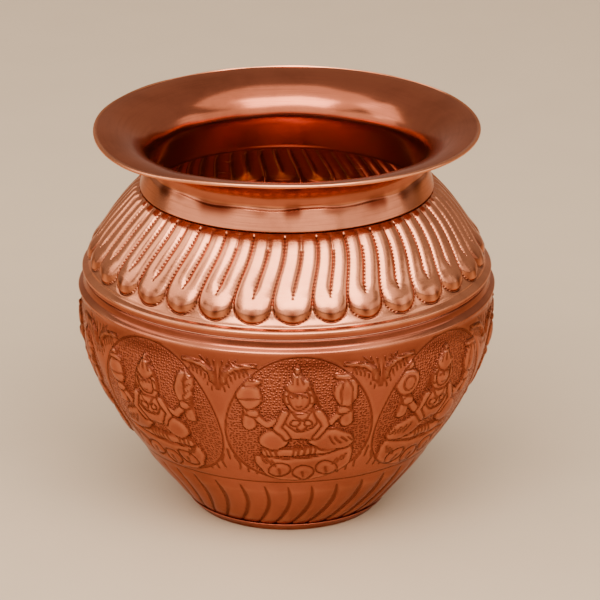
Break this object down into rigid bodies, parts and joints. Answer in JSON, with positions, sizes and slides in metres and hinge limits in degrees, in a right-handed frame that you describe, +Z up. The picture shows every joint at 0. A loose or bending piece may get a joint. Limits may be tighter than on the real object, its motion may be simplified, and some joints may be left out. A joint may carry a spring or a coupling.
{
  "type": "kalash pot",
  "caption": "Round-bellied copper ritual water pot with a wide flared mouth, plain collar, domed shoulder, beaded belly and flat base, joined from spun sheet shells.",
  "frame": {"origin": "centre of the flat base, on the surface the pot stands on", "axes": "+Z up along the pot's axis towards the mouth; -Y towards the front medallion"},
  "size_m": [0.1252, 0.1252, 0.12],
  "materials": {
    "copper_mouth": "polished copper sheet, handled smooth, brushed along the turn",
    "copper_body": "polished chased copper sheet, brown tarnish in the sunk work",
    "copper_base": "worn copper sheet",
    "braze": "dull brazing metal"
  },
  "bodies": {
    "root": {"mouth": "copper_mouth", "shoulder": "copper_body", "bowl": "copper_body", "base_pan": "copper_base", "neck_braze": "braze", "belly_braze": "braze", "base_braze": "braze"}
  },
  "joints": []
}
